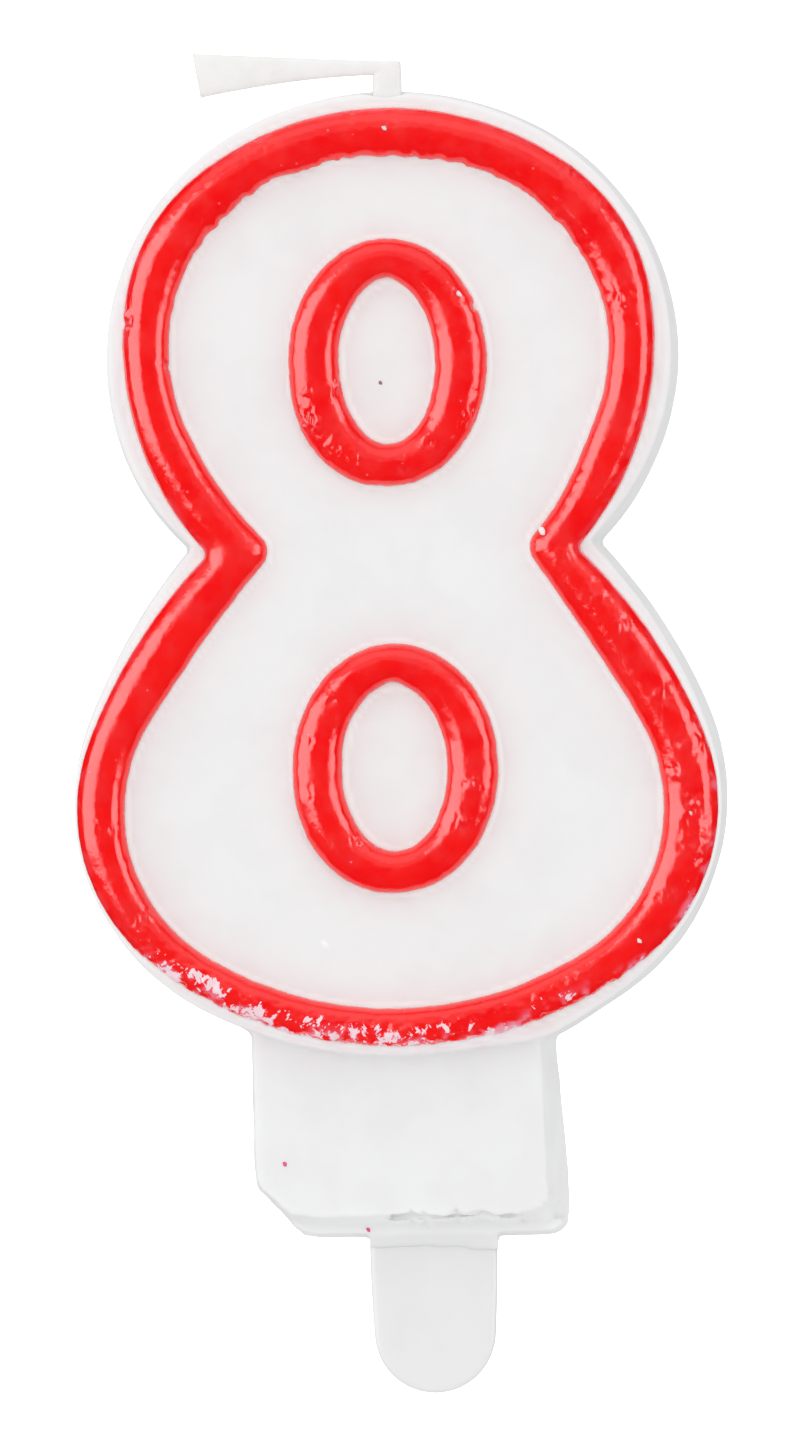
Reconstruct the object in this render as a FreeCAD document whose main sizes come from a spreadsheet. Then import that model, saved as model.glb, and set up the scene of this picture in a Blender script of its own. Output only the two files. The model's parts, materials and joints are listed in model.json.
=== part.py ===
import FreeCAD, Part

import math
import os

import Sketcher

# A moulded wax number candle: a white figure eight with a raised coloured outline, a bent wick at
# the top, and a wax foot block that holds a short flat pick for pushing into a cake.
#
# Frame: X to the right, Y to the back, Z up, millimetres. The origin is where the pick's mid-plane
# leaves the foot block. The candle was cast face down, so its back is one flat plane.

FRONT_VIEW = "XZ_Plane"  # a sketch here reads X across and Z up, and pads towards the front, -Y
PLAN_VIEW = "XY_Plane"
SIDE_VIEW = "YZ_Plane"

# Outlines are half loops of tangent arcs, named from the crown at the top, over the shoulder and
# the neck to the waist, and from the foot at the bottom, round the hip and up the flank to it.
# An arc's radius is in millimetres and its sweep in degrees. The arc that ends at the waist has no
# sweep of its own, because the upper and lower loops end where they meet.
NUMBERS = {
    # where the pieces stand
    "numeral_axis_x": -1.53,
    "back_y": 1.5,
    "numeral_thickness": 7.0,
    "draft_inset": 0.45,
    # the silhouette of the numeral at its back plane
    "edge_top": 71.49,
    "edge_crown_radius": 19.64,
    "edge_crown_sweep": 29.0,
    "edge_shoulder_radius": 16.24,
    "edge_bottom": 11.13,
    "edge_foot_radius": 27.19,
    "edge_foot_sweep": 26.9,
    "edge_hip_radius": 14.78,
    "edge_hip_sweep": 85.2,
    "edge_flank_radius": 35.45,
    "waist_z": 43.0,
    # the raised outline, outer and inner edges
    "outer_top": 70.01,
    "outer_crown_radius": 19.16,
    "outer_crown_sweep": 37.3,
    "outer_shoulder_radius": 11.92,
    "outer_shoulder_sweep": 44.7,
    "outer_neck_radius": 19.1,
    "outer_bottom": 12.2,
    "outer_foot_radius": 24.75,
    "outer_foot_sweep": 37.3,
    "outer_hip_radius": 12.1,
    "outer_hip_sweep": 74.6,
    "outer_flank_radius": 33.18,
    "inner_top": 67.2,
    "inner_crown_radius": 18.35,
    "inner_crown_sweep": 16.7,
    "inner_shoulder_radius": 11.66,
    "inner_shoulder_sweep": 95.0,
    "inner_neck_radius": 23.38,
    "inner_bottom": 14.47,
    "inner_foot_radius": 22.09,
    "inner_foot_sweep": 32.1,
    "inner_hip_radius": 10.51,
    "inner_hip_sweep": 88.8,
    "inner_flank_radius": 77.1,
    "bead_height": 1.2,
    "bead_crest_round": 0.9,
    "inner_waist_round": 1.2,
    "outer_waist_round": 0.5,
    # the rings round the two counters, as half-axes of ellipses
    "upper_ring_z": 54.36,
    "upper_ring_outer_x": 6.11,
    "upper_ring_outer_z": 7.63,
    "upper_ring_inner_x": 2.97,
    "upper_ring_inner_z": 5.03,
    "lower_ring_z": 29.3,
    "lower_ring_outer_x": 6.32,
    "lower_ring_outer_z": 7.67,
    "lower_ring_inner_x": 3.26,
    "lower_ring_inner_z": 5.13,
    # the foot block, its back face and its smaller front face
    "block_thickness": 5.0,
    "block_top_z": 15.0,
    "block_back_left_x": -11.2,
    "block_back_chip_z": 3.1,
    "block_back_chip_x": -8.2,
    "block_back_right_x": 8.65,
    "block_back_right_top_x": 7.7,
    "block_front_left_x": -10.85,
    "block_front_chip_z": 3.6,
    "block_front_chip_x": -8.6,
    "block_front_bottom_z": 1.85,
    "block_front_right_x": 7.2,
    "block_front_right_top_x": 6.9,
    "block_corner_round": 1.5,
    # the wick, straight in the wax and folded over above it
    "wick_x": -1.39,
    "wick_y": -4.4,
    "wick_foot_z": 20.0,
    "wick_width": 1.84,
    "wick_thickness": 1.0,
    "wick_edge_round": 0.3,
    "stub_top_z": 71.74,
    "stub_top_round": 0.45,
    "fold_x": -1.05,
    "fold_z": 72.41,
    "knuckle_radius": 0.53,
    "tip_root_height": 0.9,
    "tip_root_thickness": 1.06,
    "tip_length": 12.1,
    "tip_end_height": 2.55,
    "tip_end_thickness": 0.9,
    "tip_end_drop": 0.06,
    # the pick
    "pick_width": 7.75,
    "pick_thickness": 1.2,
    "pick_exposed": 9.82,
    "pick_embedded": 12.0,
    "pick_key_hole_radius": 1.6,
    "pick_key_hole_z": 6.5,
    "pick_edge_round": 0.25,
}

# How near counts as touching when an edge is picked by where it lies, in millimetres.
IN_PLANE = 1e-4
AT_CORNER = 0.01
FULL_LENGTH_SLACK = 0.1

document = FreeCAD.newDocument("number_candle")


def make_sheet():
    sheet = document.addObject("Spreadsheet::Sheet", "numbers")
    for row, (alias, value) in enumerate(NUMBERS.items(), start=1):
        sheet.set(f"A{row}", alias)
        sheet.set(f"B{row}", str(value))
        sheet.setAlias(f"B{row}", alias)
    document.recompute()
    return sheet


numbers = make_sheet()


def size(alias):
    """The value of one cell of the sheet."""
    return float(numbers.get(alias))


def bound(formula):
    """The formula with each alias written as a cell of the sheet."""
    return " ".join(f"numbers.{word}" if word in NUMBERS else word for word in formula.split())


def amount(formula):
    """A formula such as "edge_top - draft_inset" as a number, for placing geometry at first."""
    total = 0.0
    sign = 1.0
    for word in formula.split():
        if word in ("+", "-"):
            sign = -1.0 if word == "-" else 1.0
            continue
        total += sign * (size(word) if word in NUMBERS else float(word))
    return total


def new_body(label, x="0", y="0", z="0"):
    """A body whose origin is placed by three formulas."""
    body = document.addObject("PartDesign::Body", label)
    body.Label = label
    for axis, formula in zip("xyz", (x, y, z)):
        body.setExpression(f"Placement.Base.{axis}", bound(formula))
    return body


def origin_plane(body, role):
    return next(plane for plane in body.Origin.OriginFeatures if plane.Role == role)


def new_sketch(body, name, role, offset="0"):
    """A sketch on one of the body's own planes, moved along the plane's normal by a formula."""
    sketch = body.newObject("Sketcher::SketchObject", name)
    sketch.AttachmentSupport = [(origin_plane(body, role), "")]
    sketch.MapMode = "FlatFace"
    sketch.setExpression("AttachmentOffset.Base.z", bound(offset))
    return sketch


def constrain(sketch, name, formula, *arguments):
    """One named dimension of a sketch, bound to the sheet."""
    value = amount(formula)
    kind = arguments[0]
    if kind == "Angle":
        value = math.radians(value)
    index = sketch.addConstraint(Sketcher.Constraint(*arguments, value))
    sketch.renameConstraint(index, name)
    unit = " * 1 deg" if kind == "Angle" else ""
    sketch.setExpression(f"Constraints.{name}", bound(formula) + unit)


def feature(body, kind, name, **properties):
    """A solid feature of the body; a text value that is a formula is bound to the sheet."""
    made = body.newObject(f"PartDesign::{kind}", name)
    for key, value in properties.items():
        if isinstance(value, str) and value.split()[0] in NUMBERS:
            made.setExpression(key, bound(value))
        else:
            setattr(made, key, value)
    document.recompute()
    body.Tip = made
    return made


# ---------------------------------------------------------------- outlines of tangent arcs

ORIGIN = -1
VERTICAL_AXIS = -2
START, END, CENTRE = 1, 2, 3


def chain_arcs(top_formula, arcs, upper):
    """Tangent arcs from the numeral's axis outwards, as (arc, first end, last end).

    arcs lists (radius formula, sweep formula). The last arc's sweep is left long: it is cut where
    the other loop meets it. The upper loop turns clockwise and the lower one anticlockwise.
    """
    turn = -1.0 if upper else 1.0
    point = FreeCAD.Vector(0, amount(top_formula), 0)
    heading = 0.0
    made = []
    for radius_formula, sweep_formula in arcs:
        radius = amount(radius_formula)
        sweep = math.radians(amount(sweep_formula) if sweep_formula else 90.0)
        towards = heading + turn * math.pi / 2
        centre = point + FreeCAD.Vector(math.cos(towards), math.sin(towards), 0) * radius
        first = towards + math.pi
        last = first + turn * sweep
        circle = Part.Circle(centre, FreeCAD.Vector(0, 0, 1), radius)
        low, high = min(first, last), max(first, last)
        made.append([circle, low, high])
        heading += turn * sweep
        point = centre + FreeCAD.Vector(math.cos(last), math.sin(last), 0) * radius
    return made


def cut_at_waist(upper, lower):
    """Ends the two loops' last arcs at the waist, where their circles cross on the right."""
    crossings = [point for point in upper[-1][0].intersect(lower[-1][0]) if point.X > 0]
    crossing = min(crossings, key=lambda point: abs(point.Y - size("waist_z")))
    for loop, is_upper in ((upper, True), (lower, False)):
        circle, low, high = loop[-1]
        away = math.atan2(crossing.Y - circle.Center.y, crossing.X - circle.Center.x)
        if is_upper:
            loop[-1][1] = away + 2 * math.pi * round((high - away) / (2 * math.pi))
        else:
            loop[-1][2] = away + 2 * math.pi * round((low - away) / (2 * math.pi))


def half_outline(sketch, prefix, inset=""):
    """Half a figure-eight outline, right of the vertical axis, fully dimensioned.

    Returns the sketch's vertices at the top, the bottom and the waist, each as (edge, end).
    """
    shrink = f" - {inset}" if inset else ""
    grow = f" + {inset}" if inset else ""

    def named(part, quantity):
        alias = f"{prefix}_{part}_{quantity}"
        return alias if alias in NUMBERS else None

    def arc_formulas(parts):
        present = [part for part in parts if named(part, "radius")]
        return [(named(part, "radius") + shrink, named(part, "sweep")) for part in present]

    loops = {
        "upper": (f"{prefix}_top{shrink}", arc_formulas(("crown", "shoulder", "neck"))),
        "lower": (f"{prefix}_bottom{grow}", arc_formulas(("foot", "hip", "flank"))),
    }
    drawn = {side: chain_arcs(*loops[side], side == "upper") for side in loops}
    cut_at_waist(drawn["upper"], drawn["lower"])

    on_axis = {}
    at_waist = {}
    for side, (level, arcs) in loops.items():
        near, far = (END, START) if side == "upper" else (START, END)
        previous = None
        for (circle, low, high), (radius, sweep) in zip(drawn[side], arcs):
            edge = sketch.addGeometry(Part.ArcOfCircle(circle, low, high))
            if previous is None:
                sketch.addConstraint(Sketcher.Constraint("PointOnObject", edge, near, VERTICAL_AXIS))
                sketch.addConstraint(Sketcher.Constraint("PointOnObject", edge, CENTRE, VERTICAL_AXIS))
                constrain(sketch, f"{prefix}_{side}_level", level, "DistanceY", ORIGIN, START, edge, near)
                on_axis[side] = (edge, near)
            else:
                sketch.addConstraint(Sketcher.Constraint("Tangent", previous, far, edge, near))
            constrain(sketch, f"{prefix}_{side}_radius_{edge}", radius, "Radius", edge)
            if sweep:
                constrain(sketch, f"{prefix}_{side}_sweep_{edge}", sweep, "Angle", edge)
            previous = edge
        at_waist[side] = (previous, far)
    sketch.addConstraint(Sketcher.Constraint("Coincident", *at_waist["upper"], *at_waist["lower"]))
    return on_axis["upper"], on_axis["lower"], at_waist["upper"]


def vertex(sketch, place):
    edge, end = place
    return sketch.getPoint(edge, end)


def join(sketch, first, last):
    """A straight edge between two vertices of the sketch."""
    line = sketch.addGeometry(Part.LineSegment(vertex(sketch, first), vertex(sketch, last)))
    sketch.addConstraint(Sketcher.Constraint("Coincident", line, START, *first))
    sketch.addConstraint(Sketcher.Constraint("Coincident", line, END, *last))


def mirror_across_axis(body, name, originals):
    return feature(
        body,
        "Mirrored",
        name,
        Originals=originals,
        MirrorPlane=(origin_plane(body, SIDE_VIEW), [""]),
        Refine=True,
    )


def edge_names(shape, wanted):
    """Names of the edges for which wanted(edge) is true."""
    return [f"Edge{i}" for i, edge in enumerate(shape.Edges, start=1) if wanted(edge)]


def in_plane(edge, axis, level):
    box = edge.BoundBox
    low, high = getattr(box, f"{axis}Min"), getattr(box, f"{axis}Max")
    return abs(low - level) < IN_PLANE and abs(high - level) < IN_PLANE


def round_edges(body, name, wanted, radius):
    """A fillet on the edges for which wanted(edge) is true, in the body's own frame."""
    base = body.Tip
    edges = edge_names(base.Shape, wanted)
    if not edges:
        raise RuntimeError(f"{body.Label}: no edges for {name}")
    return feature(body, "Fillet", name, Base=(base, edges), Radius=radius)


# ---------------------------------------------------------------- the wax


def polygon(sketch, corners):
    """A closed polygon; corners maps a name to its (across, up) formulas."""
    places = [FreeCAD.Vector(amount(x), amount(y), 0) for x, y in corners.values()]
    lines = [
        sketch.addGeometry(Part.LineSegment(place, places[(i + 1) % len(places)]))
        for i, place in enumerate(places)
    ]
    for i, line in enumerate(lines):
        following = lines[(i + 1) % len(lines)]
        sketch.addConstraint(Sketcher.Constraint("Coincident", line, END, following, START))
    for line, (name, (across, up)) in zip(lines, corners.items()):
        constrain(sketch, f"{name}_x", across, "DistanceX", ORIGIN, START, line, START)
        constrain(sketch, f"{name}_z", up, "DistanceY", ORIGIN, START, line, START)


def add_foot_block(body):
    """The block under the numeral, with a broken left corner and sloping right and lower sides."""
    back = new_sketch(body, "block_back", FRONT_VIEW)
    polygon(
        back,
        {
            "top_left": ("block_back_left_x - numeral_axis_x", "block_top_z"),
            "chip_upper": ("block_back_left_x - numeral_axis_x", "block_back_chip_z"),
            "chip_lower": ("block_back_chip_x - numeral_axis_x", "0"),
            "bottom_right": ("block_back_right_x - numeral_axis_x", "0"),
            "top_right": ("block_back_right_top_x - numeral_axis_x", "block_top_z"),
        },
    )
    front = new_sketch(body, "block_front", FRONT_VIEW, "block_thickness")
    polygon(
        front,
        {
            "top_left": ("block_front_left_x - numeral_axis_x", "block_top_z"),
            "chip_upper": ("block_front_left_x - numeral_axis_x", "block_front_chip_z"),
            "chip_lower": ("block_front_chip_x - numeral_axis_x", "block_front_bottom_z"),
            "bottom_right": ("block_front_right_x - numeral_axis_x", "block_front_bottom_z"),
            "top_right": ("block_front_right_top_x - numeral_axis_x", "block_top_z"),
        },
    )
    return feature(body, "AdditiveLoft", "foot_block", Profile=back, Sections=[front], Ruled=True)


def make_casting():
    """The white numeral and its foot block, one pour of wax, before anything is set into it."""
    body = new_body("white_casting", "numeral_axis_x", "back_y")
    back = new_sketch(body, "numeral_back", FRONT_VIEW)
    front = new_sketch(body, "numeral_front", FRONT_VIEW, "numeral_thickness")
    for sketch, inset in ((back, ""), (front, "draft_inset")):
        top, bottom, _ = half_outline(sketch, "edge", inset)
        join(sketch, top, bottom)
    half = feature(body, "AdditiveLoft", "half_numeral", Profile=back, Sections=[front])
    mirror_across_axis(body, "numeral", [half])
    add_foot_block(body)
    corner_x = size("block_back_right_x") - size("numeral_axis_x")

    def lower_right_corner(edge):
        ends = [v.Point for v in edge.Vertexes]
        spans_depth = edge.BoundBox.YLength > size("block_thickness") - FULL_LENGTH_SLACK
        return spans_depth and any(abs(p.x - corner_x) + abs(p.z) < AT_CORNER for p in ends)

    round_edges(body, "block_corner", lower_right_corner, "block_corner_round")
    return body


def make_outline_bead():
    """The raised coloured band round the numeral's face, flat where it lies on the white wax."""
    body = new_body("outline_bead", "numeral_axis_x", "back_y - numeral_thickness")
    sketch = new_sketch(body, "band", FRONT_VIEW)
    outer_top, outer_bottom, outer_waist = half_outline(sketch, "outer")
    inner_top, inner_bottom, inner_waist = half_outline(sketch, "inner")
    join(sketch, outer_top, inner_top)
    join(sketch, outer_bottom, inner_bottom)
    waists = {"inner": vertex(sketch, inner_waist), "outer": vertex(sketch, outer_waist)}
    half = feature(body, "Pad", "half_band", Profile=sketch, Length="bead_height")
    mirror_across_axis(body, "band_both_sides", [half])

    def runs_back_from(edge, corner):
        """Whether both ends of the edge lie at the corner, on either side of the axis."""
        return all(
            abs(abs(v.Point.x) - corner.x) + abs(v.Point.z - corner.y) < AT_CORNER
            for v in edge.Vertexes
        )

    for name, corner in waists.items():
        round_edges(
            body, f"{name}_waist", lambda edge: runs_back_from(edge, corner), f"{name}_waist_round"
        )
    crest = -size("bead_height")
    round_edges(body, "crest", lambda edge: in_plane(edge, "Y", crest), "bead_crest_round")
    return body


def half_axis(sketch, line, name, formula):
    """Binds one full axis of an ellipse to twice the half-axis in the sheet."""
    index = sketch.addConstraint(
        Sketcher.Constraint("Distance", line, START, line, END, 2 * amount(formula))
    )
    sketch.renameConstraint(index, name)
    sketch.setExpression(f"Constraints.{name}", f"2 * numbers.{formula}")


def make_ring_bead(label, prefix):
    """The raised coloured oval round one counter of the eight."""
    body = new_body(label, "numeral_axis_x", "back_y - numeral_thickness", f"{prefix}_z")
    sketch = new_sketch(body, f"{prefix}_band", FRONT_VIEW)
    for edge in ("outer", "inner"):
        half_width = size(f"{prefix}_{edge}_x")
        half_height = size(f"{prefix}_{edge}_z")
        oval = Part.Ellipse(
            FreeCAD.Vector(0, half_height, 0),
            FreeCAD.Vector(half_width, 0, 0),
            FreeCAD.Vector(0, 0, 0),
        )
        index = sketch.addGeometry(oval)
        sketch.exposeInternalGeometry(index)
        tall, wide = index + 1, index + 2
        sketch.addConstraint(Sketcher.Constraint("Coincident", index, CENTRE, ORIGIN, START))
        sketch.addConstraint(Sketcher.Constraint("Vertical", tall))
        half_axis(sketch, tall, f"{edge}_height", f"{prefix}_{edge}_z")
        half_axis(sketch, wide, f"{edge}_width", f"{prefix}_{edge}_x")
    feature(body, "Pad", f"{prefix}_pad", Profile=sketch, Length="bead_height")
    crest = -size("bead_height")
    round_edges(body, "crest", lambda edge: in_plane(edge, "Y", crest), "bead_crest_round")
    return body


# ---------------------------------------------------------------- the wick


def rectangle(sketch, width, height, up="0"):
    """A rectangle centred on the sketch's vertical axis, its middle at a height given by up."""
    half_width = amount(width) / 2
    low = amount(up) - amount(height) / 2
    high = amount(up) + amount(height) / 2
    corners = [(-half_width, low), (half_width, low), (half_width, high), (-half_width, high)]
    points = [FreeCAD.Vector(x, z, 0) for x, z in corners]
    lines = [
        sketch.addGeometry(Part.LineSegment(points[i], points[(i + 1) % 4])) for i in range(4)
    ]
    for i in range(4):
        following = lines[(i + 1) % 4]
        sketch.addConstraint(Sketcher.Constraint("Coincident", lines[i], END, following, START))
    bottom, right, top, left = lines
    sketch.addConstraint(Sketcher.Constraint("Horizontal", top))
    sketch.addConstraint(Sketcher.Constraint("Vertical", right))
    sketch.addConstraint(
        Sketcher.Constraint("Symmetric", bottom, START, bottom, END, VERTICAL_AXIS)
    )
    constrain(sketch, "width", width, "DistanceX", bottom, START, bottom, END)
    constrain(sketch, "height", height, "DistanceY", right, START, right, END)
    index = sketch.addConstraint(
        Sketcher.Constraint("DistanceY", ORIGIN, START, bottom, START, low)
    )
    sketch.renameConstraint(index, "low_edge")
    sketch.setExpression("Constraints.low_edge", f"{bound(up)} - ( {bound(height)} ) / 2")


def make_wick_core():
    """The wick from deep in the wax up to the fold."""
    body = new_body("wick_core", "wick_x", "wick_y", "wick_foot_z")
    section = new_sketch(body, "core_section", PLAN_VIEW)
    rectangle(section, "wick_width", "wick_thickness")
    feature(body, "Pad", "core", Profile=section, Length="stub_top_z - wick_foot_z")
    top = size("stub_top_z") - size("wick_foot_z")

    def top_side(edge):
        return in_plane(edge, "Z", top) and edge.BoundBox.XLength < IN_PLANE

    round_edges(body, "stub_top", top_side, "stub_top_round")
    round_edges(
        body, "braid_edges", lambda edge: edge.BoundBox.ZLength > top / 2, "wick_edge_round"
    )
    return body


def make_wick_tip():
    """The folded end of the wick: a knuckle at the fold and a strip that flares to its cut end."""
    body = new_body("wick_tip", "fold_x", "wick_y", "fold_z")
    knuckle = new_sketch(body, "knuckle_section", FRONT_VIEW)
    circle = knuckle.addGeometry(
        Part.Circle(FreeCAD.Vector(0, 0, 0), FreeCAD.Vector(0, 0, 1), size("knuckle_radius"))
    )
    knuckle.addConstraint(Sketcher.Constraint("Coincident", circle, CENTRE, ORIGIN, START))
    constrain(knuckle, "knuckle", "knuckle_radius", "Radius", circle)
    feature(
        body, "Pad", "knuckle", Profile=knuckle, Length="tip_root_thickness", Midplane=True
    )
    root = new_sketch(body, "strip_root", SIDE_VIEW)
    rectangle(root, "tip_root_thickness", "tip_root_height")
    end = new_sketch(body, "strip_end", SIDE_VIEW, "0 - tip_length")
    rectangle(end, "tip_end_thickness", "tip_end_height", "0 - tip_end_drop")
    feature(body, "AdditiveLoft", "strip", Profile=root, Sections=[end], Ruled=True)
    return body


# ---------------------------------------------------------------- the pick


def make_pick():
    """The flat plastic tongue: a rounded end below the block and a keyed strip inside it."""
    body = new_body("pick", "0", "0", "0")
    sketch = new_sketch(body, "pick_outline", FRONT_VIEW)
    half_width = size("pick_width") / 2
    low = half_width - size("pick_exposed")
    high = size("pick_embedded")
    straight_ends = {
        "right": (FreeCAD.Vector(half_width, low, 0), FreeCAD.Vector(half_width, high, 0)),
        "top": (FreeCAD.Vector(half_width, high, 0), FreeCAD.Vector(-half_width, high, 0)),
        "left": (FreeCAD.Vector(-half_width, high, 0), FreeCAD.Vector(-half_width, low, 0)),
    }
    right, top, left = (
        sketch.addGeometry(Part.LineSegment(*ends)) for ends in straight_ends.values()
    )
    tip_circle = Part.Circle(FreeCAD.Vector(0, low, 0), FreeCAD.Vector(0, 0, 1), half_width)
    tip = sketch.addGeometry(Part.ArcOfCircle(tip_circle, math.pi, 2 * math.pi))
    for first, following in ((right, top), (top, left)):
        sketch.addConstraint(Sketcher.Constraint("Coincident", first, END, following, START))
    sketch.addConstraint(Sketcher.Constraint("Tangent", left, END, tip, START))
    sketch.addConstraint(Sketcher.Constraint("Tangent", tip, END, right, START))
    sketch.addConstraint(Sketcher.Constraint("Vertical", right))
    sketch.addConstraint(Sketcher.Constraint("Symmetric", top, START, top, END, VERTICAL_AXIS))
    constrain(sketch, "width", "pick_width", "DistanceX", top, END, top, START)
    constrain(sketch, "embedded", "pick_embedded", "DistanceY", ORIGIN, START, top, START)
    index = sketch.addConstraint(
        Sketcher.Constraint("DistanceY", right, START, ORIGIN, START, -low)
    )
    sketch.renameConstraint(index, "straight_exposed")
    sketch.setExpression(
        "Constraints.straight_exposed", "numbers.pick_exposed - numbers.pick_width / 2"
    )
    hole_centre = FreeCAD.Vector(0, size("pick_key_hole_z"), 0)
    hole = sketch.addGeometry(
        Part.Circle(hole_centre, FreeCAD.Vector(0, 0, 1), size("pick_key_hole_radius"))
    )
    sketch.addConstraint(Sketcher.Constraint("PointOnObject", hole, CENTRE, VERTICAL_AXIS))
    constrain(sketch, "hole_level", "pick_key_hole_z", "DistanceY", ORIGIN, START, hole, CENTRE)
    constrain(sketch, "hole", "pick_key_hole_radius", "Radius", hole)
    feature(body, "Pad", "blade", Profile=sketch, Length="pick_thickness", Midplane=True)

    def outline_edge(edge):
        box = edge.BoundBox
        on_a_face = box.YLength < IN_PLANE
        round_the_hole = box.ZMin > 0 and box.ZMax < size("pick_embedded") - FULL_LENGTH_SLACK
        return on_a_face and not round_the_hole

    round_edges(body, "soft_edges", outline_edge, "pick_edge_round")
    return body


# ---------------------------------------------------------------- assembly


def cut(label, base, tool):
    """The base with the tool's own shape taken out of it, so that the two lie face to face."""
    made = document.addObject("Part::Cut", label)
    made.Label = label
    made.Base = base
    made.Tool = tool
    document.recompute()
    return made


def check_everything():
    document.recompute()
    for item in document.Objects:
        if {"Invalid", "Error"} & set(item.State):
            raise RuntimeError(f"{item.Label} failed: {item.State}")


def export(pieces):
    os.makedirs("parts", exist_ok=True)
    for piece in pieces:
        shape = piece.Shape
        if shape.isNull() or not shape.isValid() or not shape.Solids:
            raise RuntimeError(f"{piece.Label} has no valid solid")
        shape.exportStep(f"parts/{piece.Label}.step")
        print(f"{piece.Label:18s} solids {len(shape.Solids)}  volume {shape.Volume:9.2f} mm3")


def main():
    pick = make_pick()
    wick_core = make_wick_core()
    casting_round_pick = cut("casting_round_pick", make_casting(), pick)
    pieces = [
        cut("wax_body", casting_round_pick, wick_core),
        make_outline_bead(),
        make_ring_bead("upper_ring_bead", "upper_ring"),
        make_ring_bead("lower_ring_bead", "lower_ring"),
        wick_core,
        make_wick_tip(),
        pick,
    ]
    check_everything()
    export(pieces)


main()
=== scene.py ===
import itertools
import json
import math

import bmesh
import bpy
import numpy as np
from mathutils import Matrix, Vector


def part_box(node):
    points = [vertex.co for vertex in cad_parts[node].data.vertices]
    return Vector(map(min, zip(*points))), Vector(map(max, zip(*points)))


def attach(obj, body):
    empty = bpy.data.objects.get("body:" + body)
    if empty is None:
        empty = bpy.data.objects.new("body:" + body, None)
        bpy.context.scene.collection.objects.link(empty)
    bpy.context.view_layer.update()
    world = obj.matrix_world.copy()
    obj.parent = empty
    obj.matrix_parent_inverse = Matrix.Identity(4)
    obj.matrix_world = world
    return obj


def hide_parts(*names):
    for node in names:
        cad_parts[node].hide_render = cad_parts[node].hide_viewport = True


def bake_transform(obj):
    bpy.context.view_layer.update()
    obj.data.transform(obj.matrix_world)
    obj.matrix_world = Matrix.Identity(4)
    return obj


# The looks of a wax number candle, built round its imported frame. Lengths are in millimetres in the
# row's frame until a mesh is made: X right, Y back, Z up, with the decorated face towards -Y.
# Each wax piece is the zero surface of a field: the distance outside it, negative inside.

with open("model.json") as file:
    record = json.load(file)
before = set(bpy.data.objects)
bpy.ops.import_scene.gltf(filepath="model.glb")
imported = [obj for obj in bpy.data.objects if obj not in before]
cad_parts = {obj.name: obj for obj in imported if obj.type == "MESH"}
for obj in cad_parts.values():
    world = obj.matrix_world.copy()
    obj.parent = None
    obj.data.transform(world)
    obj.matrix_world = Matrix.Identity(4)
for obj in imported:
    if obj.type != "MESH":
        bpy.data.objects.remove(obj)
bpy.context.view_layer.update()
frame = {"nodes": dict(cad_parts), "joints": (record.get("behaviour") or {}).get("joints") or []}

MM = 0.001


# ---------------------------------------------------------------- what the frame says


def node_box(node):
    """The node's lowest and highest corners, in millimetres."""
    low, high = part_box(node)
    return np.array(low) / MM, np.array(high) / MM


def flat_loops(node, depth):
    """Loops of (x, z) round the node's flat faces in the plane y = depth, the largest first."""
    in_plane = 0.002
    mesh = frame["nodes"][node].data
    mesh.calc_loop_triangles()
    places = [tuple(round(c / MM, 3) for c in v.co) for v in mesh.vertices]
    edges = set()
    for triangle in mesh.loop_triangles:
        corners = [places[i] for i in triangle.vertices]
        if any(abs(corner[1] - depth) > in_plane for corner in corners):
            continue
        for a, b in zip(corners, corners[1:] + corners[:1]):
            if (b, a) in edges:
                edges.remove((b, a))
            elif a != b:
                edges.add((a, b))
    following = dict(sorted(edges))
    loops = []
    while following:
        first = next(iter(following))
        loop, at = [first], following.pop(first)
        while at != first:
            loop.append(at)
            at = following.pop(at)
        loops.append(np.array([(x, z) for x, _, z in loop]))
    return sorted(loops, key=lambda loop: -np.ptp(loop, axis=0).prod())


def smooth_loop(loop, spacing=0.3, corner_degrees=20.0):
    """The loop resampled by cubics through its points, so arcs are round; corners stay sharp."""
    before, after = loop - np.roll(loop, 1, 0), np.roll(loop, -1, 0) - loop
    length_before = np.linalg.norm(before, axis=1)[:, None]
    length_after = np.linalg.norm(after, axis=1)[:, None]
    heading_in, heading_out = before / length_before, after / length_after
    middle = (heading_in * length_after + heading_out * length_before) / (
        length_before + length_after
    )
    is_corner = (heading_in * heading_out).sum(1) < math.cos(math.radians(corner_degrees))
    pieces = []
    for i in range(len(loop)):
        j = (i + 1) % len(loop)
        length = float(length_after[i, 0])
        start, end = loop[i], loop[j]
        leave = (heading_out[i] if is_corner[i] else middle[i]) * length
        arrive = (heading_in[j] if is_corner[j] else middle[j]) * length
        count = max(1, round(length / spacing))
        t = (np.arange(count) / count)[:, None]
        pieces.append(
            (2 * t**3 - 3 * t**2 + 1) * start
            + (t**3 - 2 * t**2 + t) * leave
            + (3 * t**2 - 2 * t**3) * end
            + (t**3 - t**2) * arrive
        )
    return np.concatenate(pieces)


wax_low, wax_high = node_box("wax_body")
FACE_Y = wax_low[1]
BACK_Y = wax_high[1]
BEAD_HEIGHT = FACE_Y - node_box("outline_bead")[0][1]
BLOCK_DEPTH = 5.0
BLOCK_FACE_Y = BACK_Y - BLOCK_DEPTH

numeral_loop = smooth_loop(flat_loops("wax_body", FACE_Y)[0])
block_face_loop = flat_loops("wax_body", BLOCK_FACE_Y)[0]
back_loop = smooth_loop(flat_loops("wax_body", BACK_Y)[0])
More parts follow.
